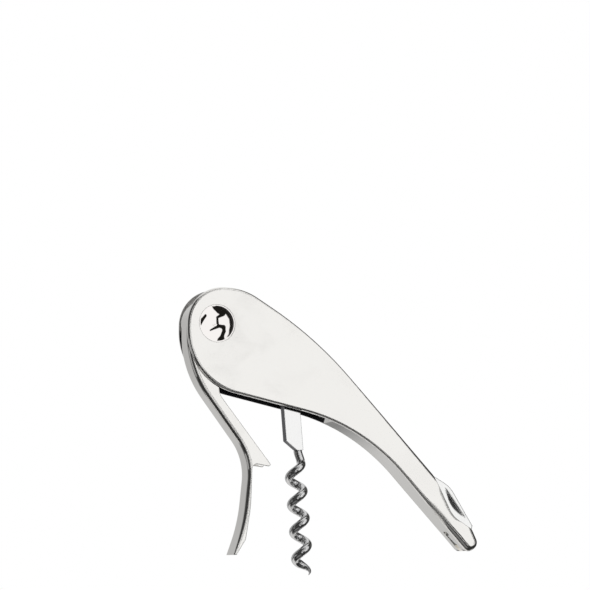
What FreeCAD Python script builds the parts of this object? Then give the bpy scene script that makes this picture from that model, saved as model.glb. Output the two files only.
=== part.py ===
import FreeCAD, Part
import Sketcher
import math
import os
import re

# Folding lever corkscrew, millimetres.
# X runs from the worm towards the knife end, Y away from the viewer, Z up.
# The origin lies on the worm's axis where it enters the cork.
# The handle, its spine and the lever are drawn about the lever hinge.
# The worm is drawn about its own hinge, with its axis along -Z.

doc = FreeCAD.newDocument("LeverCorkscrew")
sheet = doc.addObject("Spreadsheet::Sheet", "Sizes")

SIZES = {
    # where the hinges stand
    "worm_drop": 31.6,
    "worm_tilt": 4.8,
    "hinge_gap_x": 27.4,
    "hinge_gap_z": 17.3,
    "knife_hinge_x": 91.0,
    "knife_hinge_z": 68.4,
    # handle layers
    "body_thickness": 10.6,
    "plate_thickness": 1.3,
    "edge_round": 0.8,
    "tip_round": 2.0,
    "pin_seat_depth": 0.6,
    # handle outline, from the lever hinge
    "head_left": 10.1,
    "head_top": 12.25,
    "head_radius": 12.6,
    "crown_x": 9.55,
    "crown_radius": 21.0,
    "shoulder_x": 35.1,
    "shoulder_z": 2.8,
    "shoulder_radius": 130.0,
    "nose_x": 90.85,
    "nose_z": 60.2,
    "nose_radius": 18.0,
    "tip_x": 96.7,
    "tip_z": 72.3,
    "tip_radius": 2.6,
    "sole_x": 92.4,
    "sole_z": 75.2,
    "belly_x": 52.9,
    "belly_z": 32.7,
    "belly_radius": 70.0,
    "chin_z": 19.3,
    "chin_radius": 21.0,
    # worm slot between the plates
    "hood_x": 2.4,
    "slot_root_x": 10.5,
    "slot_root_z": 2.0,
    "slot_corner_x": 33.5,
    "slot_corner_z": 12.8,
    "slot_corner_radius": 4.0,
    "slot_end_x": 41.8,
    "slot_end_z": 30.9,
    "knuckle_gap": 0.4,
    # knife channel and finger scallop
    "channel_width": 2.4,
    "channel_root_x": 61.0,
    "channel_root_z": 39.45,
    "channel_end_x": 4.5,
    "channel_end_z": 1.55,
    "channel_rise_x": 3.7,
    "channel_rise_z": 3.45,
    "channel_run_x": 11.0,
    "channel_run_z": 10.8,
    "scallop_top_x": 74.7,
    "scallop_top_z": 40.0,
    "scallop_x": 86.2,
    "scallop_z": 62.6,
    "scallop_radius": 9.0,
    "scallop_end_x": 104.0,
    "scallop_end_z": 73.3,
    # lever
    "lever_clearance": 0.2,
    "knuckle_radius": 9.8,
    "knee_z": 15.0,
    "knee_radius": 34.0,
    "elbow_x": 12.55,
    "elbow_z": 44.2,
    "elbow_radius": 19.0,
    "shin_x": 10.35,
    "shin_z": 65.3,
    "shin_radius": 60.0,
    "foot_x": 6.8,
    "foot_z": 76.0,
    "leg_thickness": 1.75,
    "web_thickness": 1.6,
    "cheek_thickness": 1.3,
    "notch_x": 13.2,
    "notch_z": 45.9,
    "notch_radius": 1.7,
    "spur_x": 20.4,
    "spur_z": 47.0,
    "cheek_x": 0.9,
    "cheek_z": 22.6,
    "cheek_radius": 5.0,
    "lever_bend": 1.4,
    "lever_edge": 0.4,
    # hub
    "hub_radius": 6.2,
    "hub_lip": 0.35,
    "hub_recess": 1.5,
    "hub_dish": 0.8,
    "hub_floor": 0.8,
    "hub_split": 0.1,
    "axle_radius": 2.5,
    "bushing_wall": 1.5,
    "running_fit": 0.05,
    "washer_margin": 0.7,
    # worm
    "shank_thickness": 2.9,
    "shank_width": 5.85,
    "shank_length": 24.0,
    "shank_shoulder": 3.4,
    "boss_radius": 3.5,
    "worm_pin_radius": 1.5,
    "spacer_radius": 3.0,
    "wire_radius": 1.45,
    "wire_offset": 1.45,
    "spiral_radius": 2.25,
    "spiral_pitch": 9.0,
    "spiral_turns": 3.75,
    "arcs_per_turn": 10,
    "wire_sides": 12,
    "lead_length": 4.0,
    "point_length": 7.0,
    # foil knife
    "blade_thickness": 1.8,
    "knife_pin_radius": 1.2,
    "tang_radius": 3.2,
    "knife_washer_radius": 2.6,
    "dowel_radius": 1.2,
    "dowel_first_x": 15.0,
    "dowel_first_z": 3.5,
    "dowel_second_x": 39.5,
    "dowel_second_z": 15.0,
    "dowel_third_x": 50.5,
    "dowel_third_z": 27.0,
    "dowel_last_x": 57.0,
    "dowel_last_z": 33.5,
    "blade_tip_x": 62.6,
    "blade_tip_z": 38.3,
    "blade_hump_x": 87.3,
    "blade_hump_z": 52.25,
    "blade_heel_x": 4.75,
    "blade_heel_z": 2.8,
    "blade_edge_x": 4.0,
    "blade_edge_z": 2.5,
    "tang_toe": 2.6,
    "tang_heel": 3.9,
    "tang_corner": 0.8,
    "blade_belly_x": 65.5,
    "blade_belly_z": 43.2,
    "nick_x": 89.3,
    "nick_z": 57.85,
    "nick_slant": 53.6,
    "nick_length": 12.8,
    "nick_width": 1.9,
    "nick_depth": 0.75,
}

row = 0
for alias, value in SIZES.items():
    row += 1
    sheet.set("A%d" % row, alias)
    sheet.set("B%d" % row, str(value))
    sheet.setAlias("B%d" % row, alias)
doc.recompute()


def bound(text):
    """An expression in which each word with an underscore is a cell of the sheet."""
    return re.sub(r"[a-z]+_[a-z_]+", r"Sizes.\g<0>", text)


def value(text):
    """The number that such an expression gives now."""
    return float(sheet.evalExpression(bound(text)))


def bind(thing, **fields):
    """Ties properties of an object to the sheet."""
    for field, text in fields.items():
        thing.setExpression(field.replace("__", "."), bound(text))


LEVER_X = "-worm_drop*tan(worm_tilt*1deg)-hinge_gap_x"
LEVER_Z = "worm_drop+hinge_gap_z"
WORM_X = "-worm_drop*tan(worm_tilt*1deg)"
PLATE_INSIDE = "(body_thickness/2-plate_thickness)"


def at_lever_hinge(thing):
    bind(thing, Placement__Base__x=LEVER_X, Placement__Base__z=LEVER_Z)


def rounded_outline(sketch, corners):
    """A closed outline: straight runs joined by tangent arcs, each corner bound to the sheet."""
    places = [(value(x), value(z)) for x, z, _ in corners]
    count = len(corners)
    cuts = []
    for i, (x_text, z_text, radius_text) in enumerate(corners):
        corner = FreeCAD.Vector(places[i][0], places[i][1], 0)
        before = FreeCAD.Vector(*places[i - 1], 0) - corner
        after = FreeCAD.Vector(*places[(i + 1) % count], 0) - corner
        radius = value(radius_text)
        half = before.getAngle(after) / 2
        reach = radius / math.tan(half)
        before.normalize()
        after.normalize()
        middle = before + after
        middle.normalize()
        centre = corner + middle * (radius / math.sin(half))
        cuts.append((corner + before * reach, corner + after * reach, centre, radius, before.cross(after).z))
    lines = []
    for i in range(count):
        run = Part.LineSegment(cuts[i][1], cuts[(i + 1) % count][0])
        lines.append(sketch.addGeometry(run, False))
    for i, (start, end, centre, radius, turn) in enumerate(cuts):
        arriving = lines[i - 1]
        leaving = lines[i]
        marker = sketch.addGeometry(Part.Point(FreeCAD.Vector(*places[i], 0)), True)
        if radius == 0:
            sketch.addConstraint(Sketcher.Constraint("Coincident", arriving, 2, leaving, 1))
            sketch.addConstraint(Sketcher.Constraint("Coincident", marker, 1, leaving, 1))
        else:
            circle = Part.Circle(centre, FreeCAD.Vector(0, 0, 1), radius)
            angle_start = math.atan2(start.y - centre.y, start.x - centre.x)
            angle_end = math.atan2(end.y - centre.y, end.x - centre.x)
            if turn > 0:
                arc = sketch.addGeometry(Part.ArcOfCircle(circle, angle_end, angle_start), False)
                arc_in, arc_out = 2, 1
            else:
                arc = sketch.addGeometry(Part.ArcOfCircle(circle, angle_start, angle_end), False)
                arc_in, arc_out = 1, 2
            sketch.addConstraint(Sketcher.Constraint("Tangent", arriving, 2, arc, arc_in))
            sketch.addConstraint(Sketcher.Constraint("Tangent", arc, arc_out, leaving, 1))
            sketch.addConstraint(Sketcher.Constraint("PointOnObject", marker, 1, arriving))
            sketch.addConstraint(Sketcher.Constraint("PointOnObject", marker, 1, leaving))
            number = sketch.addConstraint(Sketcher.Constraint("Radius", arc, radius))
            sketch.setExpression("Constraints[%d]" % number, bound(corners[i][2]))
        for kind, place, text in (("DistanceX", places[i][0], corners[i][0]),
                                  ("DistanceY", places[i][1], corners[i][1])):
            number = sketch.addConstraint(Sketcher.Constraint(kind, -1, 1, marker, 1, place))
            sketch.setExpression("Constraints[%d]" % number, bound(text))


def loose_sketch(name, corners):
    """An outline in the XZ plane that a solid outside the bodies is drawn from."""
    sketch = doc.addObject("Sketcher::SketchObject", name)
    sketch.Placement.Rotation = FreeCAD.Rotation(FreeCAD.Vector(1, 0, 0), 90)
    rounded_outline(sketch, corners)
    doc.recompute()
    return sketch


def prism(name, corners, near, far):
    """A straight prism over an outline, from Y = near to Y = far."""
    solid = doc.addObject("Part::Extrusion", name)
    solid.Base = loose_sketch(name + "Outline", corners)
    solid.DirMode = "Normal"
    solid.Solid = True
    bind(solid, LengthFwd="-(%s)" % near, LengthRev=far)
    doc.recompute()
    return solid


def slab(name, near, far):
    """A wide flat box between two Y levels, for taking one layer out of the handle."""
    solid = doc.addObject("Part::Box", name)
    bind(solid, Length="2*tip_x+head_left", Width="(%s)-(%s)" % (far, near), Height="2*sole_z+head_top")
    bind(solid, Placement__Base__x="-head_left-tip_x/2", Placement__Base__y=near)
    bind(solid, Placement__Base__z="-sole_z*1.5")
    return solid


def rod(name, x, z, radius, near, far):
    """A cylinder along Y."""
    solid = doc.addObject("Part::Cylinder", name)
    solid.Placement.Rotation = FreeCAD.Rotation(FreeCAD.Vector(1, 0, 0), -90)
    bind(solid, Radius=radius, Height="(%s)-(%s)" % (far, near))
    bind(solid, Placement__Base__x=x, Placement__Base__y=near, Placement__Base__z=z)
    return solid


def minus(name, base, *tools):
    """One solid less some others."""
    tool = tools[0]
    if len(tools) > 1:
        tool = doc.addObject("Part::MultiFuse", name + "Cutters")
        tool.Shapes = list(tools)
    cut = doc.addObject("Part::Cut", name)
    cut.Base = base
    cut.Tool = tool
    return cut


def common(name, first, second):
    both = doc.addObject("Part::MultiCommon", name)
    both.Shapes = [first, second]
    return both


HANDLE_OUTLINE = [
    ("-head_left", "head_top", "head_radius"),
    ("crown_x", "head_top", "crown_radius"),
    ("shoulder_x", "-shoulder_z", "shoulder_radius"),
    ("nose_x", "-nose_z", "nose_radius"),
    ("tip_x", "-tip_z", "tip_radius"),
    ("sole_x", "-sole_z", "tip_radius"),
    ("belly_x", "-belly_z", "belly_radius"),
    ("-head_left", "-chin_z", "chin_radius"),
]

# The whole handle as one block with its soft edge, which the plates and the spine share.
block = prism("HandleBlock", HANDLE_OUTLINE, "-body_thickness/2", "body_thickness/2")


def soft_edges(shape):
    """The block's face edges with their round: even along the handle, wider round the tip."""
    small = value("edge_round")
    large = value("tip_round")
    face_level = value("body_thickness/2")
    widening = value("(belly_x+tip_x)/2")
    widened = []
    for number, edge in enumerate(shape.Edges, 1):
        ends = [edge.valueAt(edge.FirstParameter), edge.valueAt(edge.LastParameter)]
        if any(abs(abs(end.y) - face_level) > 1e-6 for end in ends):
            continue
        radii = [large if end.x > widening else small for end in ends]
        widened.append((number, radii[0], radii[1]))
    return widened


soft_block = doc.addObject("Part::Fillet", "SoftBlock")
soft_block.Base = block
soft_block.Edges = soft_edges(block.Shape)
doc.recompute()

# Bores that pass from plate to plate: two hinge pins and four dowels, blind in the plates.
PIN_END = "(body_thickness/2-plate_thickness+pin_seat_depth)"
DOWELS = [
    ("dowel_first_x", "dowel_first_z"),
    ("dowel_second_x", "-dowel_second_z"),
    ("dowel_third_x", "-dowel_third_z"),
    ("dowel_last_x", "-dowel_last_z"),
]


def cross_bores(name):
    bores = [
        rod(name + "WormPin", "hinge_gap_x", "-hinge_gap_z", "worm_pin_radius", "-" + PIN_END, PIN_END),
        rod(name + "KnifePin", "knife_hinge_x", "-knife_hinge_z", "knife_pin_radius", "-" + PIN_END, PIN_END),
    ]
    for number, (x, z) in enumerate(DOWELS, 1):
        bores.append(rod("%sDowel%d" % (name, number), x, z, "dowel_radius", "-" + PIN_END, PIN_END))
    return bores


# The finger scallop goes through the front plate and the cheek behind it, down to the blade.
SCALLOP_OUTLINE = [
    ("scallop_top_x", "-scallop_top_z", "0"),
    ("scallop_end_x", "-scallop_top_z", "0"),
    ("scallop_end_x", "-scallop_end_z", "0"),
    ("scallop_x", "-scallop_z", "scallop_radius"),
]
scallop = prism("Scallop", SCALLOP_OUTLINE, "-body_thickness", "-channel_width/2")


def side_plate(label, near, far, cutters):
    """One polished cheek of the handle."""
    layer = common(label + "Layer", soft_block, slab(label + "Slab", near, far))
    hub_bore = rod(label + "HubBore", "0", "0", "hub_radius", "-body_thickness", "body_thickness")
    plate = minus(label, layer, hub_bore, *cross_bores(label), *cutters)
    at_lever_hinge(plate)
    return plate


front_plate = side_plate("front_side_plate", "-body_thickness", "-" + PLATE_INSIDE, [scallop])
rear_plate = side_plate("rear_side_plate", PLATE_INSIDE, "body_thickness", [])

# The spine between the plates: open to the left and below for the lever and the worm,
# grooved from above for the knife, forked at the end where the knife turns.
SLOT_OUTLINE = [
    ("-2*head_left", "2*head_top", "0"),
    ("hood_x", "2*head_top", "0"),
    ("hood_x", "-slot_root_z/2", "0"),
    ("slot_root_x", "-slot_root_z", "0"),
    ("slot_corner_x", "-slot_corner_z", "slot_corner_radius"),
    ("slot_end_x+(slot_end_x-slot_corner_x)/2", "-slot_end_z-(slot_end_z-slot_corner_z)/2", "0"),
    ("slot_end_x", "-2*slot_end_z", "0"),
    ("-2*head_left", "-2*slot_end_z", "0"),
]
CHANNEL_OUTLINE = [
    ("channel_root_x", "-channel_root_z", "tang_radius/4"),
    ("channel_root_x+channel_run_x", "-channel_root_z+channel_run_z", "0"),
    ("tip_x+tang_radius*6", "-nose_z", "0"),
    ("tip_x", "-tip_z-tang_radius*5", "0"),
    ("knife_hinge_x-channel_end_x-channel_rise_x", "-knife_hinge_z+channel_end_z-channel_rise_z", "0"),
    ("knife_hinge_x-channel_end_x", "-knife_hinge_z+channel_end_z", "0"),
]
slot = prism("Slot", SLOT_OUTLINE, "-body_thickness", "body_thickness")
channel = prism("Channel", CHANNEL_OUTLINE, "-channel_width/2", "channel_width/2")
knuckle_room = rod("KnuckleRoom", "0", "0", "knuckle_radius+knuckle_gap", "-body_thickness", "body_thickness")
middle = common("SpineLayer", soft_block, slab("SpineSlab", "-" + PLATE_INSIDE, PLATE_INSIDE))
spine = minus("handle_spine", middle, slot, channel, knuckle_room, scallop, *cross_bores("Spine"))
at_lever_hinge(spine)

for number, (x, z) in enumerate(DOWELS, 1):
    rod("body_dowel_%d" % number, "%s+%s" % (x, LEVER_X), "%s+%s" % (z, LEVER_Z),
        "dowel_radius", "-" + PIN_END, PIN_END)
rod("worm_pivot_pin", "hinge_gap_x+" + LEVER_X, "-hinge_gap_z+" + LEVER_Z,
    "worm_pin_radius", "-" + PIN_END, PIN_END)
rod("knife_pivot_pin", "knife_hinge_x+" + LEVER_X, "-knife_hinge_z+" + LEVER_Z,
    "knife_pin_radius", "-" + PIN_END, PIN_END)


def ring(label, x, z, outer, inner, near, far):
    """A flat washer or a sleeve on a pin along Y."""
    whole = rod(label + "Disc", x, z, outer, near, far)
    hole = rod(label + "Hole", x, z, inner, "(%s)-1" % near, "(%s)+1" % far)
    return minus(label, whole, hole)


HALF_LEVER = "(body_thickness/2-plate_thickness-lever_clearance)"
HALF_SHANK = "(shank_thickness/2)"
WORM_Z = "worm_drop"
KNIFE_X = "knife_hinge_x+" + LEVER_X
KNIFE_Z = "-knife_hinge_z+" + LEVER_Z
BUSH_OUTER = "hub_radius+running_fit+bushing_wall"

bushing = ring("lever_bushing", LEVER_X, LEVER_Z, BUSH_OUTER, "hub_radius+running_fit",
               "-" + HALF_LEVER, HALF_LEVER)
for side, near, far in (("front", "-" + PLATE_INSIDE, "-" + HALF_LEVER), ("rear", HALF_LEVER, PLATE_INSIDE)):
    ring(side + "_thrust_washer", LEVER_X, LEVER_Z, "knuckle_radius-washer_margin", "hub_radius", near, far)
for side, near, far in (("front", "-" + PLATE_INSIDE, "-%s-running_fit" % HALF_SHANK),
                        ("rear", HALF_SHANK + "+running_fit", PLATE_INSIDE)):
    ring(side + "_worm_spacer", WORM_X, WORM_Z, "spacer_radius", "worm_pin_radius", near, far)
for side, near, far in (("front", "-channel_width/2", "-blade_thickness/2"),
                        ("rear", "blade_thickness/2", "channel_width/2")):
    ring(side + "_knife_washer", KNIFE_X, KNIFE_Z, "knife_washer_radius", "knife_pin_radius", near, far)


def hub_cup(label, direction):
    """A dished cup that fills the plate's bore and carries the lever's bushing."""
    cup = doc.addObject("Part::Cylinder", label + "Blank")
    bind(cup, Radius="hub_radius", Height="body_thickness/2-hub_split")
    recess = doc.addObject("Part::Cylinder", label + "Recess")
    bind(recess, Radius="hub_radius-hub_lip", Height="hub_recess+1", Placement__Base__z="-1")
    ball_radius = "((hub_radius-hub_lip)^2+hub_dish^2)/(2*hub_dish)"
    ball = doc.addObject("Part::Sphere", label + "Ball")
    bind(ball, Radius=ball_radius, Placement__Base__z="hub_recess+hub_dish-(%s)" % ball_radius)
    core = doc.addObject("Part::Cylinder", label + "Core")
    bind(core, Radius="hub_radius-hub_lip", Height="hub_dish+1", Placement__Base__z="hub_recess-0.5")
    dish = common(label + "Dish", ball, core)
    axle_hole = doc.addObject("Part::Cylinder", label + "AxleHole")
    bind(axle_hole, Radius="axle_radius", Height="body_thickness")
    bind(axle_hole, Placement__Base__z="hub_recess+hub_dish+hub_floor")
    hub = minus(label, cup, recess, dish, axle_hole)
    hub.Placement.Rotation = FreeCAD.Rotation(FreeCAD.Vector(1, 0, 0), -90 * direction)
    at_lever_hinge(hub)
    bind(hub, Placement__Base__y="-%d*body_thickness/2" % direction)
    return hub


hub_cup("front_hub_cup", 1)
hub_cup("rear_hub_cup", -1)
AXLE_END = "(body_thickness/2-hub_recess-hub_dish-hub_floor)"
rod("lever_axle", LEVER_X, LEVER_Z, "axle_radius", "-" + AXLE_END, AXLE_END)


def new_body(label):
    body = doc.addObject("PartDesign::Body", label)
    body.Label = label
    return body


def body_sketch(body, name):
    sketch = body.newObject("Sketcher::SketchObject", name)
    plane = [item for item in body.Origin.OriginFeatures if item.Role == "XZ_Plane"][0]
    sketch.AttachmentSupport = [(plane, "")]
    sketch.MapMode = "FlatFace"
    return sketch


def circle_sketch(body, name, radius, x="0", z="0"):
    sketch = body_sketch(body, name)
    centre = FreeCAD.Vector(value(x), value(z), 0)
    ring_line = sketch.addGeometry(Part.Circle(centre, FreeCAD.Vector(0, 0, 1), value(radius)), False)
    number = sketch.addConstraint(Sketcher.Constraint("Radius", ring_line, value(radius)))
    sketch.setExpression("Constraints[%d]" % number, bound(radius))
    if x == "0" and z == "0":
        sketch.addConstraint(Sketcher.Constraint("Coincident", ring_line, 3, -1, 1))
    else:
        number = sketch.addConstraint(Sketcher.Constraint("DistanceX", -1, 1, ring_line, 3, centre.x))
        sketch.setExpression("Constraints[%d]" % number, bound(x))
        number = sketch.addConstraint(Sketcher.Constraint("DistanceY", -1, 1, ring_line, 3, centre.y))
        sketch.setExpression("Constraints[%d]" % number, bound(z))
    return sketch


def outline_sketch(body, name, corners):
    sketch = body_sketch(body, name)
    rounded_outline(sketch, corners)
    return sketch


def pad(body, name, sketch, length):
    solid = body.newObject("PartDesign::Pad", name)
    solid.Profile = sketch
    solid.Midplane = True
    bind(solid, Length=length)
    doc.recompute()
    return solid


def pocket(body, name, sketch, length):
    """A cut that runs the same way to both sides of the middle plane."""
    before = body.Shape.Volume
    cut = body.newObject("PartDesign::Pocket", name)
    cut.Profile = sketch
    cut.Midplane = True
    bind(cut, Length=length)
    doc.recompute()
    if body.Shape.Volume > before - 0.01:
        raise RuntimeError(name + " cuts nothing")
    return cut


# The lever: a round knuckle, an arm folded into a channel that opens towards the worm,
# a notch for the bottle's lip and a plain tongue below it.
LEVER_OUTLINE = [
    ("-knuckle_radius", "0", "0"),
    ("-knuckle_radius", "-knee_z", "knee_radius"),
    ("elbow_x", "-elbow_z", "elbow_radius"),
    ("shin_x", "-shin_z", "shin_radius"),
    ("foot_x", "-foot_z", "0"),
    ("foot_x+0.9", "-foot_z", "0"),
    ("shin_x+0.6", "-shin_z-5.6", "3"),
    ("shin_x+leg_thickness+0.6", "-shin_z+5", "45"),
    ("notch_x", "-notch_z", "notch_radius"),
    ("spur_x", "-spur_z", "0.6"),
    ("cheek_x", "-cheek_z", "cheek_radius"),
    ("5.5", "-knuckle_radius/2", "0"),
    ("5.5", "0", "0"),
]
TROUGH_OUTLINE = [
    ("-knuckle_radius+web_thickness", "0", "0"),
    ("-knuckle_radius+web_thickness", "-knee_z+0.5", "knee_radius-web_thickness"),
    ("elbow_x+web_thickness+0.05", "-elbow_z+0.5", "elbow_radius+web_thickness"),
    ("notch_x+0.45", "-notch_z-4", "0"),
    ("spur_x+10", "-notch_z-4", "0"),
    ("spur_x+10", "-cheek_z", "0"),
    ("5", "-knuckle_radius-2.4", "0"),
]


def on_back(point):
    """Whether a point lies on the side of the lever that faces away from the worm."""
    depth = -point.z
    if depth < value("elbow_z"):
        share = max(0.0, (depth - value("knee_z")) / (value("elbow_z") - value("knee_z")))
        line = -value("knuckle_radius") + share * (value("elbow_x") + value("knuckle_radius"))
    else:
        share = (depth - value("elbow_z")) / (value("foot_z") - value("elbow_z"))
        line = value("elbow_x") + share * (value("foot_x") - value("elbow_x"))
    return point.x < line + value("lever_edge")


def bend_at(level):
    """The bend's radius, which shrinks below the shin towards the foot."""
    bend = value("lever_bend")
    share = (-level - value("shin_z")) / (value("foot_z") - value("shin_z"))
    share = min(1.0, max(0.0, share))
    return bend + (value("lever_edge") - bend) * share


def back_edges(shape):
    """Both side edges of the arm's back with the radius of the folded bend at their ends."""
    half_width = value(HALF_LEVER)
    chosen = []
    for number, edge in enumerate(shape.Edges, 1):
        ends = [edge.valueAt(edge.FirstParameter), edge.valueAt(edge.LastParameter)]
        if any(abs(abs(end.y) - half_width) > value("running_fit") for end in ends):
            continue
        middle = edge.valueAt((edge.FirstParameter + edge.LastParameter) / 2)
        if on_back(middle) and -middle.z < value("foot_z-lever_edge"):
            chosen.append((number, bend_at(ends[0].z), bend_at(ends[1].z)))
    return chosen


arm = prism("ArmBlock", LEVER_OUTLINE, "-" + HALF_LEVER, HALF_LEVER)
soft_arm = doc.addObject("Part::Fillet", "SoftArm")
soft_arm.Base = arm
soft_arm.Edges = back_edges(arm.Shape)
doc.recompute()
knuckle = rod("Knuckle", "0", "0", "knuckle_radius", "-" + HALF_LEVER, HALF_LEVER)
whole_lever = doc.addObject("Part::MultiFuse", "WholeLever")
whole_lever.Shapes = [soft_arm, knuckle]
trough = prism("Trough", TROUGH_OUTLINE, "-%s+cheek_thickness" % HALF_LEVER, "%s-cheek_thickness" % HALF_LEVER)
knuckle_wall = rod("KnuckleWall", "0", "0", "knuckle_radius+lever_clearance", "-body_thickness", "body_thickness")
trough_below = minus("TroughBelow", trough, knuckle_wall)
knuckle_bore = rod("KnuckleBore", "0", "0", BUSH_OUTER, "-body_thickness", "body_thickness")
lever = minus("lever_arm", whole_lever, trough_below, knuckle_bore)
at_lever_hinge(lever)

# The worm's flat shank, with a round eye on the hinge pin and a bevelled foot.
SHANK_OUTLINE = [
    ("-shank_width/2", "0", "0"),
    ("-shank_width/2", "-shank_length+shank_shoulder", "0.3"),
    ("wire_offset-wire_radius/2", "-shank_length", "0.4"),
    ("shank_width/2", "-shank_length", "0.3"),
    ("shank_width/2", "0", "0"),
]
shank = new_body("worm_shank")
pad(shank, "ShankPad", outline_sketch(shank, "ShankOutline", SHANK_OUTLINE), "shank_thickness")
pad(shank, "EyePad", circle_sketch(shank, "EyeOutline", "boss_radius"), "shank_thickness")
pocket(shank, "EyeBore", circle_sketch(shank, "EyeBoreOutline", "worm_pin_radius+running_fit"), "body_thickness")


def at_worm_hinge(thing):
    thing.Placement.Rotation = FreeCAD.Rotation(FreeCAD.Vector(0, 1, 0), -value("worm_tilt"))
    bind(thing, Placement__Base__x=WORM_X, Placement__Base__z=WORM_Z)


at_worm_hinge(shank)


def tangent_arcs(start, heading, end, heading_end):
    """Two arcs that join two points of the spiral and keep to its direction at both."""
    chord = end - start
    both = heading + heading_end
    opening = 2 * (1 - heading.dot(heading_end))
    reach = (math.sqrt(chord.dot(both) ** 2 + opening * chord.dot(chord)) - chord.dot(both)) / opening
    first_corner = start + heading * reach
    last_corner = end - heading_end * reach
    middle = (first_corner + last_corner) * 0.5
    arcs = []
    for near, corner, far in ((start, first_corner, middle), (middle, last_corner, end)):
        weight = math.cos((corner - near).getAngle(far - near))
        crest = (near + corner * (2 * weight) + far) * (1 / (2 + 2 * weight))
        arcs.append(Part.Arc(near, crest, far).toShape())
    return arcs


def on_spiral(turn):
    """The wire's middle and its direction, so many turns below the start of the spiral."""
    coil = value("spiral_radius")
    pitch = value("spiral_pitch")
    around = 2 * math.pi * turn
    depth = value("shank_length+lead_length") + pitch * turn
    place = FreeCAD.Vector(coil * math.cos(around), -coil * math.sin(around), -depth)
    way = FreeCAD.Vector(-coil * math.sin(around), -coil * math.cos(around), -pitch / (2 * math.pi))
    way.normalize()
    return place, way


def wire_section(place, way, radius):
    """A many-sided ring square to the wire, with one corner on the side away from the axis."""
    sides = int(value("wire_sides"))
    outward = FreeCAD.Vector(place.x, place.y, 0)
    outward.normalize()
    across = way.cross(outward)
    corners = []
    for number in range(sides + 1):
        angle = 2 * math.pi * (number % sides) / sides
        corners.append(place + outward * (radius * math.cos(angle)) + across * (radius * math.sin(angle)))
    return Part.makePolygon(corners)


def worm_wire():
    """Round wire: a short lead out of the shank, a steady right-hand spiral and a ground point."""
    radius = value("wire_radius")
    turns = value("spiral_turns")
    steps = int(value("spiral_turns*arcs_per_turn/2"))
    down = FreeCAD.Vector(0, 0, -1)
    root = FreeCAD.Vector(value("wire_offset"), 0, -value("shank_length"))
    arcs = tangent_arcs(root, down, *on_spiral(0))
    for step in range(steps):
        arcs += tangent_arcs(*on_spiral(turns * step / steps), *on_spiral(turns * (step + 1) / steps))
    wire = Part.Wire(arcs).makePipeShell([wire_section(root, down, radius)], True, True)

    # the point keeps to the spiral while the wire thins down
    point_turns = value("point_length") / math.hypot(
        value("spiral_pitch"), 2 * math.pi * value("spiral_radius"))
    sections = []
    for step in range(4):
        place, way = on_spiral(turns + point_turns * step / 3)
        sections.append(wire_section(place, way, radius * (1 - 0.3 * step)))
    point = Part.makeLoft(sections, True, True)
    return wire.fuse(point)


spiral = doc.addObject("Part::Feature", "worm_spiral")
spiral.Shape = worm_wire()
at_worm_hinge(spiral)

# The foil knife: straight edge inside the handle, humped back with a nail nick, square tang.
KNIFE_OUTLINE = [
    ("blade_tip_x", "-blade_tip_z", "1"),
    ("blade_hump_x", "-blade_hump_z", "10"),
    ("knife_hinge_x+blade_heel_x", "-knife_hinge_z+blade_heel_z", "tang_corner/2"),
    ("knife_hinge_x+blade_heel_x*0.94", "-knife_hinge_z+blade_heel_z/2", "tang_corner/2"),
    ("knife_hinge_x+tang_toe", "-knife_hinge_z-tang_toe", "tang_toe/2"),
    ("knife_hinge_x-tang_corner", "-knife_hinge_z-tang_heel", "tang_corner"),
    ("knife_hinge_x-tang_heel", "-knife_hinge_z-tang_corner", "tang_corner"),
    ("knife_hinge_x-blade_edge_x", "-knife_hinge_z+blade_edge_z", "2"),
    ("blade_belly_x", "-blade_belly_z", "6"),
]
knife = new_body("knife_blade")
pad(knife, "BladePad", outline_sketch(knife, "BladeOutline", KNIFE_OUTLINE), "blade_thickness")
pocket(knife, "TangBore", circle_sketch(knife, "TangBoreOutline", "knife_pin_radius+running_fit",
                                        "knife_hinge_x", "-knife_hinge_z"), "body_thickness")
nick = knife.newObject("PartDesign::SubtractiveCone", "NailNick")
NICK_RADIUS = "((nick_length^2/4+nick_depth^2)/(2*nick_depth))"
nick_across = FreeCAD.Vector(-math.sin(math.radians(value("nick_slant"))), 0, -math.cos(math.radians(value("nick_slant"))))
nick.Placement.Rotation = FreeCAD.Rotation(FreeCAD.Vector(0, 0, 1), nick_across)
bind(nick, Radius1=NICK_RADIUS, Radius2=NICK_RADIUS + "-2*nick_depth", Height="2*nick_width")
bind(nick, Placement__Base__x="nick_x", Placement__Base__z="-nick_z")
bind(nick, Placement__Base__y="-blade_thickness/2+nick_depth-" + NICK_RADIUS)
at_lever_hinge(knife)
doc.recompute()

SUB_PARTS = [item for item in doc.Objects if re.fullmatch(r"[a-z]+(_[a-z]+)+(_[0-9])?", item.Label)]


def export_parts():
    """Checks every object, then writes each sub-part to its own file."""
    for item in doc.Objects:
        if "Invalid" in item.State or "Error" in item.State:
            raise RuntimeError(item.Label + " did not compute")
    os.makedirs("parts", exist_ok=True)
    for item in SUB_PARTS:
        if item.Shape.isNull() or not item.Shape.isValid() or len(item.Shape.Solids) != 1:
            raise RuntimeError(item.Label + " is not one sound solid")
        item.Shape.exportStep("parts/%s.step" % item.Label)
        print("%-22s %9.1f" % (item.Label, item.Shape.Volume))


export_parts()
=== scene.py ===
import math

import bmesh
import bpy
from mathutils import Matrix, Vector


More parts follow.
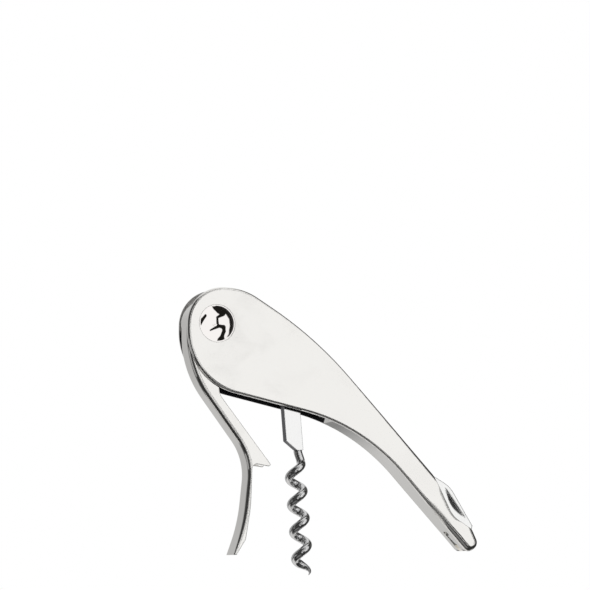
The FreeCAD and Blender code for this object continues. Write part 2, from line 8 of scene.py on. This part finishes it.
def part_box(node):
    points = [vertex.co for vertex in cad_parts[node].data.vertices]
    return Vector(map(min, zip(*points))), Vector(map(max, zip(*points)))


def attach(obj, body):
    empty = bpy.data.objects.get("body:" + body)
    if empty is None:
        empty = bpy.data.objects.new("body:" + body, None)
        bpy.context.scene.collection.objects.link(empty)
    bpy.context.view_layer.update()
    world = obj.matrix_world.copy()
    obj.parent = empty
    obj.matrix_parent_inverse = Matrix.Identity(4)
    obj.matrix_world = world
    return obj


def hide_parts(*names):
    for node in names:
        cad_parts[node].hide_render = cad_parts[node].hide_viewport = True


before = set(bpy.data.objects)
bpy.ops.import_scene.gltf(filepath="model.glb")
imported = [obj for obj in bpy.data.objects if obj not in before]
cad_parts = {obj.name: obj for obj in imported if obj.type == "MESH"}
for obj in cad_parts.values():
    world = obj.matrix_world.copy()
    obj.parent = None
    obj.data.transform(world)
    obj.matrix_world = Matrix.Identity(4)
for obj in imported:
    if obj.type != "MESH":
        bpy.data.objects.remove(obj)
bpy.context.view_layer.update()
MM = 0.001


class Tree:
    """Short calls for a node tree: add nodes, set or link their inputs by name."""

    def __init__(self, tree):
        self.tree = tree
        self.tree.nodes.clear()

    def add(self, kind, options=None, **inputs):
        node = self.tree.nodes.new(kind)
        for name, setting in (options or {}).items():
            setattr(node, name, setting)
        for name, source in inputs.items():
            key = int(name[1:]) if name[0] == "_" else name.replace("_", " ")
            self.feed(node.inputs[key], source)
        return node

    def feed(self, socket, source):
        if isinstance(source, bpy.types.NodeSocket):
            self.tree.links.new(source, socket)
        elif isinstance(source, bpy.types.Node):
            self.tree.links.new(source.outputs[0], socket)
        else:
            socket.default_value = source

    def math(self, operation, first, second=0.0):
        return self.add("ShaderNodeMath", {"operation": operation}, _0=first, _1=second)

    def soft_step(self, source, low, high, start=0.0, end=1.0):
        return self.add("ShaderNodeMapRange", {"interpolation_type": "SMOOTHSTEP"},
                        Value=source, From_Min=low, From_Max=high, To_Min=start, To_Max=end)

    def distance(self, place, centre):
        node = self.add("ShaderNodeVectorMath", {"operation": "DISTANCE"}, _0=place, _1=centre)
        return node.outputs["Value"]

    def mix(self, factor, first, second):
        node = self.add("ShaderNodeMix", {"data_type": "RGBA"})
        self.feed(node.inputs["Factor"], factor)
        self.feed(node.inputs[6], first)
        self.feed(node.inputs[7], second)
        return node.outputs[2]

    def ramp(self, source, stops):
        node = self.add("ShaderNodeValToRGB", Fac=source)
        line = node.color_ramp
        line.interpolation = "EASE"
        while len(line.elements) < len(stops):
            line.elements.new(0.5)
        for element, (place, colour) in zip(line.elements, stops):
            element.position = place
            element.color = grey(colour)
        return node.outputs["Color"]


def grey(level):
    """A colour with its fourth number, from one level or three."""
    if isinstance(level, (int, float)):
        return (level, level, level, 1.0)
    return (*level, 1.0)


def group(name, inputs, outputs):
    """An empty shader group with named sockets; returns the group, its tree and its given inputs."""
    made = bpy.data.node_groups.new(name, "ShaderNodeTree")
    tree = Tree(made)
    for side, sockets in (("INPUT", inputs), ("OUTPUT", outputs)):
        for label, kind in sockets.items():
            made.interface.new_socket(label, in_out=side, socket_type=kind)
    return made, tree, tree.add("NodeGroupInput").outputs


def add_piece(name, data):
    """A new object in the scene around a mesh, a lamp or a camera."""
    piece = bpy.data.objects.new(name, data)
    bpy.context.collection.objects.link(piece)
    return piece


def aim(piece, place, direction):
    """Puts a lamp or a camera at a place, looking along a direction."""
    piece.location = place
    piece.rotation_mode = "QUATERNION"
    piece.rotation_quaternion = Vector(direction).to_track_quat("-Z", "Y")


# Studio seen in the chrome, by direction: round the object 0.5 is its front, 0.75 its right,
# 0 and 1 its back, 0.25 its left. Each pair is a direction and the brightness there.
ROUND_LEVEL = [(0.0, 0.62), (0.06, 0.50), (0.13, 0.42), (0.19, 0.07), (0.30, 0.04), (0.45, 0.05),
               (0.66, 0.05), (0.84, 0.05), (0.89, 0.8), (0.94, 1.0), (1.0, 0.62)]
ROUND_BELOW = [(0.0, 0.60), (0.08, 0.50), (0.14, 0.10), (0.30, 0.04), (0.70, 0.04), (0.86, 0.04),
               (0.94, 0.06), (1.0, 0.60)]
# a pair like the next ones is where a soft edge starts and where it is full
BELOW_EDGE = (-0.22, -0.34)
CEILING_EDGE = (0.80, 0.93)
CEILING = 0.85
# the even light for rays that are neither mirrored nor the camera's
OTHER_RAYS = 0.8
# a grey panel on the left, a little below the object
SIDE_PANEL = 0.25
SIDE_PANEL_SIDES = (0.065, 0.035)
SIDE_PANEL_TOP = (-0.05, -0.12)
SIDE_PANEL_FOOT = (-0.52, -0.42)
SIDE_PANEL_TONE = 0.42
# the round white front: its middle round the object and in height, and its unit in radians
FRONT_AROUND = 0.555
FRONT_HEIGHT = 0.125
FRONT_UNIT = 0.54
FRONT_RIM = (1.45, 1.25)
FRONT_SWAY = 0.3
STROKE_TONE = (0.012, 0.011, 0.010)
STROKE_EDGE = (0.012, -0.012)
# how softly bars run together where they meet
STROKE_BLEND = 0.05
# dark bars before the white front: start, end and half width at both, in front units
STROKES = [
    ((-0.30, 0.90), (0.26, 0.78), 0.05, 0.24), ((0.26, 0.78), (0.50, 0.62), 0.24, 0.11),
    ((0.46, 0.56), (0.14, 0.36), 0.12, 0.06), ((0.14, 0.36), (0.17, -0.04), 0.06, 0.075),
    ((0.18, -0.08), (0.50, -0.15), 0.08, 0.115), ((0.50, -0.15), (0.51, -0.36), 0.115, 0.10),
    ((0.51, -0.36), (0.33, -0.68), 0.10, 0.11), ((0.33, -0.68), (0.10, -0.90), 0.11, 0.17),
    ((0.18, -0.13), (-0.32, -0.33), 0.08, 0.035), ((-0.58, 0.38), (-0.98, -0.10), 0.075, 0.10),
    ((0.58, 0.74), (0.92, 0.34), 0.07, 0.11), ((0.92, 0.34), (1.00, -0.10), 0.11, 0.14),
    ((1.00, -0.10), (0.86, -0.54), 0.14, 0.13), ((0.86, -0.54), (0.48, -0.90), 0.13, 0.10),
]
# a thin dark ring round the bars
RING_RADIUS = 1.03
RING_HALF_WIDTH = 0.03


def dark_stroke():
    """How far a place lies outside a stroke from start to end whose width changes evenly along it."""
    made, t, given = group(
        "dark_stroke",
        {"Place": "NodeSocketVector", "Start": "NodeSocketVector", "End": "NodeSocketVector",
         "Start Width": "NodeSocketFloat", "End Width": "NodeSocketFloat"},
        {"Outside": "NodeSocketFloat"})

    def vector(operation, first, second):
        return t.add("ShaderNodeVectorMath", {"operation": operation}, _0=first, _1=second)

    along = vector("SUBTRACT", given["End"], given["Start"])
    to_place = vector("SUBTRACT", given["Place"], given["Start"])
    share = t.math("DIVIDE", vector("DOT_PRODUCT", to_place, along).outputs["Value"],
                   vector("DOT_PRODUCT", along, along).outputs["Value"])
    share.use_clamp = True
    foot = t.add("ShaderNodeMix", {"data_type": "VECTOR"}, _0=share, _4=given["Start"], _5=given["End"])
    width = t.add("ShaderNodeMix", _0=share, _2=given["Start Width"], _3=given["End Width"])
    off = t.distance(given["Place"], foot.outputs[1])
    t.add("NodeGroupOutput", Outside=t.math("SUBTRACT", off, width.outputs[0]))
    return made


def studio_world():
    """White for the camera, an even pale light for rough faces, the studio for polished ones."""
    world = bpy.data.worlds.new("studio")
    bpy.context.scene.world = world
    world.use_nodes = True
    t = Tree(world.node_tree)
    direction = t.add("ShaderNodeTexCoord").outputs["Generated"]
    axes = t.add("ShaderNodeSeparateXYZ", Vector=direction)
    height = axes.outputs["Z"]
    around = t.math("ARCTAN2", axes.outputs["X"], t.math("MULTIPLY", axes.outputs["Y"], -1.0))
    around = t.math("ADD", t.math("DIVIDE", around, 2 * math.pi), 0.5)

    # the walls, the ceiling and the panel on the left
    below = t.soft_step(height, *BELOW_EDGE)
    studio = t.mix(below, t.ramp(around, ROUND_LEVEL), t.ramp(around, ROUND_BELOW))
    studio = t.mix(t.soft_step(height, *CEILING_EDGE), studio, grey(CEILING))
    aside = t.math("ABSOLUTE", t.math("SUBTRACT", around, SIDE_PANEL))
    panel = t.math("MULTIPLY", t.soft_step(height, *SIDE_PANEL_TOP),
                   t.soft_step(height, *SIDE_PANEL_FOOT))
    panel = t.math("MULTIPLY", t.soft_step(aside, *SIDE_PANEL_SIDES), panel)
    studio = t.mix(panel, studio, grey(SIDE_PANEL_TONE))

    # the white front with its dark bars; its rim sways a little
    across = t.math("MULTIPLY", t.math("SUBTRACT", FRONT_AROUND, around), 2 * math.pi / FRONT_UNIT)
    up = t.math("DIVIDE", t.math("SUBTRACT", FRONT_HEIGHT, height), FRONT_UNIT)
    spot = t.add("ShaderNodeCombineXYZ", X=across, Y=up)
    middle = t.add("ShaderNodeVectorMath", {"operation": "LENGTH"}, _0=spot).outputs["Value"]
    ripple = t.add("ShaderNodeTexNoise", Vector=direction, Scale=3.0, Detail=1.0)
    sway = t.math("MULTIPLY", t.math("SUBTRACT", ripple, 0.5), FRONT_SWAY)
    studio = t.mix(t.soft_step(t.math("ADD", middle, sway), *FRONT_RIM), studio, grey(1.0))
    off_ring = t.math("ABSOLUTE", t.math("SUBTRACT", middle, RING_RADIUS))
    nearest = t.math("SUBTRACT", off_ring, RING_HALF_WIDTH)
    stroke = dark_stroke()
    for start, end, start_width, end_width in STROKES:
        off = t.add("ShaderNodeGroup", {"node_tree": stroke}, Place=spot, Start=(*start, 0.0),
                    End=(*end, 0.0), Start_Width=start_width, End_Width=end_width)
        nearest = t.add("ShaderNodeMath", {"operation": "SMOOTH_MIN"},
                        _0=nearest, _1=off, _2=STROKE_BLEND)
    studio = t.mix(t.soft_step(nearest, *STROKE_EDGE), studio, grey(STROKE_TONE))

    rays = t.add("ShaderNodeLightPath")
    studio = t.mix(rays.outputs["Is Glossy Ray"], grey(OTHER_RAYS), studio)
    seen = t.math("MAXIMUM", rays.outputs["Is Camera Ray"], rays.outputs["Is Transmission Ray"])
    back = t.add("ShaderNodeBackground", Color=t.mix(seen, studio, grey(1.0)), Strength=1.0)
    t.add("ShaderNodeOutputWorld", Surface=back)


# the plates' inner faces lie this far from the middle
INNER_FACE = 4.0 * MM
# the colour of the painted shade on the plates' inner faces, between the plates
INSIDE_SHADE_TONE = (0.05, 0.05, 0.055)
# the colour of the painted shade on the narrow sides and cuts of the blade and the shank
SIDE_SHADE_TONE = (0.16, 0.16, 0.17)
# how much rougher the dark places are
MATT = 0.35
# how much of the dark goes where light falls in round the open head
OPEN_HEAD = 0.55
# how much scratches and smudges roughen a metal, and how much smudges tint it
SCRATCH_GLOSS = 0.05
SMUDGE_GLOSS = 0.06
SMUDGE_TINT = 0.25


def surface_wear():
    """Fine scratches in one direction, hairlines across them and smudges."""
    made, t, given = group(
        "surface_wear",
        {"Position": "NodeSocketVector", "Grain": "NodeSocketFloat", "Smudge": "NodeSocketFloat"},
        {"Scratch": "NodeSocketFloat", "Smudge": "NodeSocketFloat"})

    def drawn(tilt, stretch, **noise):
        """Noise drawn out to lines that lie at an angle on the side plates."""
        turned = t.add("ShaderNodeMapping", Vector=given["Position"], Scale=stretch,
                       Rotation=(0.0, math.radians(tilt), 0.0))
        return t.add("ShaderNodeTexNoise", Vector=turned, **noise)

    lines = drawn(42, (1.0, 8.0, 26.0), Scale=160.0, Detail=4.0, Roughness=0.6)
    hairs = t.soft_step(drawn(-28, (1.0, 6.0, 40.0), Scale=110.0, Detail=2.0), 0.62, 0.70)
    scratch = t.math("ADD", t.math("MULTIPLY", lines, 0.6), t.math("MULTIPLY", hairs, 0.5))
    cloud = t.add("ShaderNodeTexNoise", Vector=given["Position"], Scale=70.0, Detail=3.0, Distortion=0.6)
    t.add("NodeGroupOutput", Scratch=t.math("MULTIPLY", scratch, given["Grain"]),
          Smudge=t.math("MULTIPLY", t.soft_step(cloud, 0.48, 0.72), given["Smudge"]))
    return made


def painted_inside_shade_mask():
    """Painted shade: 1 deep between the side plates, less round the open head, 0 on what shows outside."""
    made, t, given = group(
        "painted_inside_shade_mask",
        {"Position": "NodeSocketVector", "Normal": "NodeSocketVector", "Hinge": "NodeSocketVector"},
        {"Inside": "NodeSocketFloat"})
    place = t.add("ShaderNodeSeparateXYZ", Vector=given["Position"]).outputs
    facing = t.add("ShaderNodeSeparateXYZ", Vector=given["Normal"]).outputs
    hinge = t.add("ShaderNodeSeparateXYZ", Vector=given["Hinge"]).outputs
    depth = t.math("ABSOLUTE", place["Y"])
    near = t.soft_step(depth, INNER_FACE + 0.12 * MM, INNER_FACE + 0.02 * MM)
    inward = t.math("MULTIPLY", t.math("SIGN", place["Y"]), facing["Y"])
    turned_in = t.math("LESS_THAN", inward, -0.5)
    left = t.soft_step(t.math("SUBTRACT", place["X"], hinge["X"]), 3.0 * MM, 1.0 * MM)
    high = t.soft_step(t.math("SUBTRACT", place["Z"], hinge["Z"]), -4.0 * MM, -1.0 * MM)
    open_rim = t.math("MULTIPLY", t.math("MULTIPLY", left, high), OPEN_HEAD)
    closed = t.math("SUBTRACT", 1.0, open_rim)
    t.add("NodeGroupOutput", Inside=t.math("MULTIPLY", t.math("MULTIPLY", near, turned_in), closed))
    return made


def side_shade_mask():
    """Painted shade: 1 near a place on a flat blank's narrow sides and cuts."""
    made, t, given = group(
        "side_shade_mask",
        {"Position": "NodeSocketVector", "Normal": "NodeSocketVector", "Place": "NodeSocketVector",
         "Reach": "NodeSocketFloat"},
        {"Side": "NodeSocketFloat"})
    facing = t.add("ShaderNodeSeparateXYZ", Vector=given["Normal"])
    side = t.soft_step(t.math("ABSOLUTE", facing.outputs["Y"]), 0.6, 0.3)
    close = t.math("LESS_THAN", t.distance(given["Position"], given["Place"]), given["Reach"])
    t.add("NodeGroupOutput", Side=t.math("MULTIPLY", side, close))
    return made


WEAR = surface_wear()
INSIDE_SHADE = painted_inside_shade_mask()
SIDE_SHADE = side_shade_mask()
HINGE = tuple((low + high) / 2 for low, high in zip(*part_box("lever_bushing")))


def metal(name, colour, dull, rough, grain=1.0, smudge=1.0, edge=0.0, rounder=(), inside=False,
          side_shade=None):
    """A bare or plated metal: scratches and smudges in its gloss, a faint tint, softened edges.

    rounder lists places with a wider edge round, as centre, reach and radius. inside paints shade on
    what lies between the plates, sheared paints shade on the cut sides within a reach of a place.
    """
    made = bpy.data.materials.new(name)
    made.use_nodes = True
    t = Tree(made.node_tree)
    place = t.add("ShaderNodeTexCoord").outputs["Object"]
    wear = t.add("ShaderNodeGroup", {"node_tree": WEAR}, Position=place, Grain=grain, Smudge=smudge)
    gloss = t.math("ADD", rough, t.math("MULTIPLY", wear.outputs["Scratch"], SCRATCH_GLOSS))
    gloss = t.math("ADD", gloss, t.math("MULTIPLY", wear.outputs["Smudge"], SMUDGE_GLOSS))
    tint = t.math("MULTIPLY", wear.outputs["Smudge"], SMUDGE_TINT)
    tone = t.mix(tint, grey(colour), grey(dull))

    mask = None
    # painted shade on the plates' inner faces between the plates, darker and rougher there
    if inside:
        facing = t.add("ShaderNodeNewGeometry").outputs["True Normal"]
        mask = t.add("ShaderNodeGroup", {"node_tree": INSIDE_SHADE}, Position=place, Normal=facing, Hinge=HINGE)
        tone = t.mix(mask, tone, grey(INSIDE_SHADE_TONE))
    # painted shade on the narrow sides and cuts near a place, darker and rougher there
    if side_shade:
        spot, reach = side_shade
        facing = t.add("ShaderNodeNewGeometry").outputs["True Normal"]
        mask = t.add("ShaderNodeGroup", {"node_tree": SIDE_SHADE}, Position=place, Normal=facing,
                     Place=spot, Reach=reach)
        tone = t.mix(mask, tone, grey(SIDE_SHADE_TONE))
    if mask:
        gloss = t.math("ADD", gloss, t.math("MULTIPLY", mask, MATT))

    shader = t.add("ShaderNodeBsdfPrincipled", Base_Color=tone, Roughness=gloss)
    shader.inputs["Metallic"].default_value = 1.0
    for centre, reach, width in rounder:
        off = t.distance(place, centre)
        edge = t.math("MAXIMUM", edge, t.soft_step(off, reach, 0.5 * reach, 0.0, width))
    if edge:
        t.feed(shader.inputs["Normal"], t.add("ShaderNodeBevel", {"samples": 6}, Radius=edge))
    t.add("ShaderNodeOutputMaterial", Surface=shader)
    return made


CHROME = (0.875, 0.863, 0.838)
DULL_CHROME = (0.80, 0.785, 0.76)
# the front plate's edge looks rounder beside the finger scallop
SCALLOP = ((54.5 * MM, -5.3 * MM, -10.0 * MM), 9.0 * MM, 1.9 * MM)
# painted shade on the narrow sides and cuts round the nail nick in the blade, and on all of the shank
NICK = ((59.2 * MM, 0.0, -9.0 * MM), 8.7 * MM)
SHANK = ((0.0, 0.0, 20.0 * MM), 50.0 * MM)

# the plates carry the painted shade between them
plate_chrome = metal("polished_plate", CHROME, DULL_CHROME, 0.035, edge=0.35 * MM, rounder=[SCALLOP],
                     inside=True)
lever_chrome = metal("polished_lever", CHROME, DULL_CHROME, 0.04, edge=0.5 * MM)
spine_chrome = metal("polished_spine", CHROME, DULL_CHROME, 0.05)
hub_chrome = metal("mirror_dish", (0.93, 0.90, 0.88), DULL_CHROME, 0.02, grain=0.4, smudge=0.3)
worm_steel = metal("satin_worm_steel", (0.74, 0.74, 0.74), (0.6, 0.6, 0.6), 0.14)
# the blade's nick and the shank's narrow sides get the painted shade
blade_steel = metal("ground_blade_steel", (0.90, 0.90, 0.89), (0.80, 0.80, 0.79), 0.07,
                    edge=0.6 * MM, side_shade=NICK)
shank_steel = metal("shank_steel", (0.90, 0.90, 0.895), (0.8, 0.8, 0.8), 0.07,
                    edge=0.3 * MM, side_shade=SHANK)
pin_steel = metal("pin_steel", (0.66, 0.66, 0.67), (0.5, 0.5, 0.5), 0.2)
bronze = metal("oiled_bronze", (0.62, 0.42, 0.24), (0.4, 0.27, 0.16), 0.3)

LOOKS = {
    "front_side_plate": plate_chrome, "rear_side_plate": plate_chrome, "handle_spine": spine_chrome,
    "lever_arm": lever_chrome, "front_hub_cup": hub_chrome, "rear_hub_cup": hub_chrome,
    "worm_shank": shank_steel, "worm_spiral": worm_steel, "knife_blade": blade_steel,
    "lever_bushing": bronze, "front_thrust_washer": bronze, "rear_thrust_washer": bronze,
    "front_knife_washer": bronze, "rear_knife_washer": bronze,
}
for name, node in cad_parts.items():
    node.data.materials.clear()
    node.data.materials.append(LOOKS.get(name, pin_steel))


# the worm's sizes in mm, as it hangs from its hinge: shank, lead, coil and ground point
WORM_HINGE = Vector((-2.6536, 0.0, 31.6))
WORM_TILT = Matrix.Rotation(math.radians(-4.8), 3, "Y")
WIRE_RADIUS = 1.45
COIL_RADIUS = 2.25
PITCH = 9.0
TURNS = 3.75
SHANK_LENGTH = 24.0
LEAD_LENGTH = 4.0
POINT_LENGTH = 7.0
# the point's end keeps this share of the wire's radius
POINT_END = 0.07
LEAD_STEPS = 14
COIL_STEPS = 184
WIRE_SIDES = 20


def wire_way():
    """The wire's middle and its radius, step by step: out of the shank, down the coil, to the point."""
    steps = []
    for i in range(LEAD_STEPS):
        share = i / LEAD_STEPS
        swing = share * share * (3 - 2 * share)
        out = WIRE_RADIUS + (COIL_RADIUS - WIRE_RADIUS) * swing
        steps.append((Vector((out, 0.0, -SHANK_LENGTH - LEAD_LENGTH * share)), WIRE_RADIUS))
    point_turns = POINT_LENGTH / math.hypot(PITCH, 2 * math.pi * COIL_RADIUS)
    for i in range(COIL_STEPS + 1):
        turn = (TURNS + point_turns) * i / COIL_STEPS
        angle = 2 * math.pi * turn
        drop = SHANK_LENGTH + LEAD_LENGTH + PITCH * turn
        middle = Vector((COIL_RADIUS * math.cos(angle), -COIL_RADIUS * math.sin(angle), -drop))
        ground = max(0.0, (turn - TURNS) / point_turns)
        steps.append((middle, WIRE_RADIUS * (1 - (1 - POINT_END) * ground)))
    return steps


def smooth_worm():
    """The worm as round drawn wire in place of the solid's many-sided one."""
    steps = wire_way()
    net = bmesh.new()
    rings = []
    across = Vector((0.0, 1.0, 0.0))
    for i, (middle, radius) in enumerate(steps):
        ahead = steps[min(i + 1, len(steps) - 1)][0] - steps[max(i - 1, 0)][0]
        ahead.normalize()
        across = (across - ahead * across.dot(ahead)).normalized()
        other = ahead.cross(across)
        ring = []
        for k in range(WIRE_SIDES):
            turn = 2 * math.pi * k / WIRE_SIDES
            place = middle + (across * math.cos(turn) + other * math.sin(turn)) * radius
            ring.append(net.verts.new((WORM_HINGE + WORM_TILT @ place) * MM))
        rings.append(ring)
    for upper, lower in zip(rings, rings[1:]):
        for k in range(WIRE_SIDES):
            after = (k + 1) % WIRE_SIDES
            net.faces.new((upper[k], upper[after], lower[after], lower[k]))
    net.faces.new(rings[0][::-1])
    net.faces.new(rings[-1])
    bmesh.ops.recalc_face_normals(net, faces=net.faces[:])
    mesh = bpy.data.meshes.new("worm_wire")
    net.to_mesh(mesh)
    net.free()
    mesh.shade_smooth()
    mesh.materials.append(worm_steel)
    piece = add_piece("worm_wire", mesh)
    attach(piece, "worm")
    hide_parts("worm_spiral")


FLOOR_CENTRE = Vector((0.02, 0.0, -0.30))
FLOOR_RADIUS = 0.45
FLOOR_CORNERS = 96


def floor():
    """A pale round floor that fades to the white backdrop toward its rim and keeps the object's shadow."""
    mesh = bpy.data.meshes.new("floor")
    angles = [2 * math.pi * i / FLOOR_CORNERS for i in range(FLOOR_CORNERS)]
    rim = [FLOOR_CENTRE + Vector((math.cos(angle), math.sin(angle), 0)) * FLOOR_RADIUS for angle in angles]
    mesh.from_pydata(rim, [], [tuple(range(FLOOR_CORNERS))])
    made = bpy.data.materials.new("pale_floor")
    made.use_nodes = True
    t = Tree(made.node_tree)
    place = t.add("ShaderNodeTexCoord").outputs["Object"]
    away = t.distance(place, tuple(FLOOR_CENTRE))
    fade = t.soft_step(away, 0.35 * FLOOR_RADIUS, 0.98 * FLOOR_RADIUS)
    fade = t.math("MULTIPLY", fade, t.add("ShaderNodeLightPath").outputs["Is Camera Ray"])
    speck = t.add("ShaderNodeTexNoise", Vector=place, Scale=400.0, Detail=2.0)
    tone = t.ramp(speck, [(0.3, (0.80, 0.79, 0.78)), (0.7, (0.84, 0.83, 0.82))])
    plain = t.add("ShaderNodeBsdfPrincipled", Base_Color=tone, Roughness=0.85)
    plain.inputs["Specular IOR Level"].default_value = 0.1
    light = t.add("ShaderNodeEmission", Color=grey(1.0), Strength=1.0)
    t.add("ShaderNodeOutputMaterial", Surface=t.add("ShaderNodeMixShader", Fac=fade, _1=plain, _2=light))
    mesh.materials.append(made)
    add_piece("floor", mesh)


# the card's height, its left, front, right and back ends, and the middle of its paler part
CARD_LEVEL = -0.22
CARD_ENDS = (-0.50, -0.42, 0.60, 0.08)
CARD_PALE = (-0.06, -0.12, CARD_LEVEL)
# the paler part fades between these distances, from the first brightness to the second
CARD_FADE = (0.05, 0.14)
CARD_TONES = (0.17, 0.02)


def dark_card():
    """A dark card below the object, paler in one part, that only the object's polished faces see."""
    mesh = bpy.data.meshes.new("card_below")
    left, front, right, back = CARD_ENDS
    corners = [(left, front), (right, front), (right, back), (left, back)]
    mesh.from_pydata([(x, y, CARD_LEVEL) for x, y in corners], [], [(0, 1, 2, 3)])
    made = bpy.data.materials.new("dark_card")
    made.use_nodes = True
    t = Tree(made.node_tree)
    away = t.distance(t.add("ShaderNodeTexCoord").outputs["Object"], CARD_PALE)
    tone = t.soft_step(away, *CARD_FADE, *CARD_TONES)
    t.add("ShaderNodeOutputMaterial",
          Surface=t.add("ShaderNodeBsdfPrincipled", Base_Color=tone, Roughness=0.9))
    mesh.materials.append(made)
    piece = add_piece("card_below", mesh)
    piece.visible_camera = False
    piece.visible_diffuse = False
    piece.visible_shadow = False


def key_light():
    """A round soft lamp up at the front right, kept out of the reflections."""
    data = bpy.data.lights.new("key_light", "AREA")
    data.shape = "DISK"
    data.size = 0.6
    data.energy = 6.0
    piece = add_piece("key_light", data)
    aim(piece, (0.5, -0.7, 0.9), (-0.48, 0.7, -0.9))
    piece.visible_glossy = False


CAMERA_PLACE = (-0.25224, -0.62387, -0.03399)
CAMERA_DIRECTION = (0.3710, 0.9182, 0.1392)


def camera():
    """The camera, set where the object's outline falls on the photograph's."""
    data = bpy.data.cameras.new("camera")
    data.lens = 122.03
    data.sensor_width = 36.0
    data.clip_start = 0.05
    data.clip_end = 20.0
    piece = add_piece("camera", data)
    aim(piece, CAMERA_PLACE, CAMERA_DIRECTION)
    bpy.context.scene.camera = piece


bpy.context.scene.view_settings.view_transform = "Standard"
studio_world()
smooth_worm()
floor()
dark_card()
key_light()
camera()
